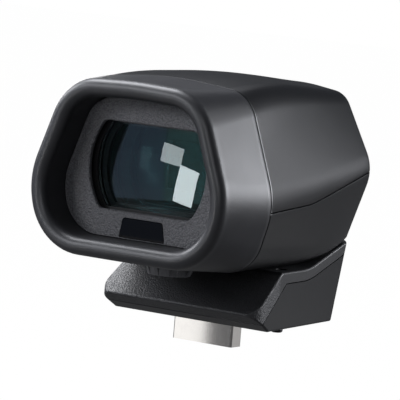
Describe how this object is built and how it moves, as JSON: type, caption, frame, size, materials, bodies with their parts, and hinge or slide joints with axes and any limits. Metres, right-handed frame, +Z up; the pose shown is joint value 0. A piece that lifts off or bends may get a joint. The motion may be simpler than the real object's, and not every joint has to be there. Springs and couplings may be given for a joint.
{
  "type": "electronic viewfinder",
  "caption": "Tilting electronic viewfinder with a soft flared eyecup, a dioptre dial and a wedge base that plugs into a camera's top.",
  "frame": {"origin": "middle of the flat underside of the base, where it rests on the camera", "axes": "+X to the user's right, +Y along the line of sight away from the eye, +Z up"},
  "size_m": [0.0738, 0.0878, 0.0798],
  "materials": {
    "eyecup_rubber": "soft satin",
    "cover_plastic": "fine matte texture",
    "plate_plastic": "coarse grained texture",
    "inner_plastic": "matte black",
    "sensor_plastic": "gloss black",
    "lens_glass": "coated glass",
    "dark_metal": "satin black coating",
    "steel": "satin",
    "connector_metal": "brushed nickel",
    "contact_gold": "gold plated",
    "aluminium": "machined",
    "board_green": "solder mask",
    "chip_black": "moulded",
    "flex_amber": "polyimide film",
    "pad_rubber": "matte",
    "gear_plastic": "smooth",
    "display_glass": "gloss"
  },
  "bodies": {
    "base": {"base_upper_cover": "cover_plastic", "base_lower_cover": "cover_plastic", "base_chassis": "dark_metal", "connector_shell": "connector_metal", "connector_core": "inner_plastic", "connector_contacts": "contact_gold", "connector_board": "board_green", "base_flex_cable": "flex_amber", "hinge_pin": "dark_metal", "hinge_nut": "dark_metal", "hinge_washer_left": "steel", "hinge_washer_right": "steel", "base_screw_1": "steel", "base_screw_2": "steel", "base_screw_3": "steel", "base_screw_4": "steel", "rest_pad_left": "pad_rubber", "rest_pad_right": "pad_rubber", "screw_bushing_left": "contact_gold", "screw_bushing_right": "contact_gold"},
    "head": {"eyecup": "eyecup_rubber", "front_frame": "inner_plastic", "face_plate": "plate_plastic", "eye_sensor_window": "sensor_plastic", "eye_sensor_board": "board_green", "upper_cover": "cover_plastic", "lower_cover": "cover_plastic", "lens_guide_tube": "inner_plastic", "display_holder": "inner_plastic", "field_lens": "lens_glass", "display_panel": "display_glass", "display_board": "board_green", "heat_spreader": "aluminium", "display_flex": "flex_amber", "main_board": "board_green", "main_board_chips": "chip_black", "head_hinge_bracket": "dark_metal", "bracket_screw_left": "steel", "bracket_screw_right": "steel", "dial_friction_washer": "inner_plastic"},
    "lens": {"lens_barrel": "inner_plastic", "barrel_rack": "gear_plastic", "eye_lens": "lens_glass", "second_lens": "lens_glass", "third_lens": "lens_glass", "lens_retainer": "inner_plastic", "lens_spacer_front": "inner_plastic", "lens_spacer_rear": "inner_plastic"},
    "dial": {"diopter_dial": "cover_plastic", "dial_shaft": "steel", "dial_pinion": "gear_plastic", "dial_clip": "steel"},
    "screw_left": {"mounting_screw_left": "dark_metal", "screw_spring_left": "steel"},
    "screw_right": {"mounting_screw_right": "dark_metal", "screw_spring_right": "steel"}
  },
  "joints": [
    {"name": "head_tilt", "type": "hinge", "parent": "base", "child": "head", "pos_m": [0, 0.0236, 0.02844], "axis": [-1, 0, 0], "range_deg": [0, 70]},
    {"name": "lens_slide", "type": "slide", "parent": "head", "child": "lens", "axis": [0, 1, 0], "range_m": [-0.0019, 0.0019]},
    {"name": "dioptre_dial", "type": "hinge", "parent": "head", "child": "dial", "pos_m": [0, -0.034, 0.0155], "axis": [0, 0, 1], "range_deg": [-39, 39]},
    {"name": "mounting_screw_left_slide", "type": "slide", "parent": "base", "child": "screw_left", "axis": [0, 0, -1], "range_m": [0, 0.0035], "stiffness_N_per_m": 250, "springref_m": -0.001, "deforming": ["screw_spring_left"]},
    {"name": "mounting_screw_right_slide", "type": "slide", "parent": "base", "child": "screw_right", "axis": [0, 0, -1], "range_m": [0, 0.0035], "stiffness_N_per_m": 250, "springref_m": -0.001, "deforming": ["screw_spring_right"]}
  ],
  "couplings": [
    {"joint": "dioptre_dial", "follows": "lens_slide", "rad_per_m": 357.14}
  ]
}
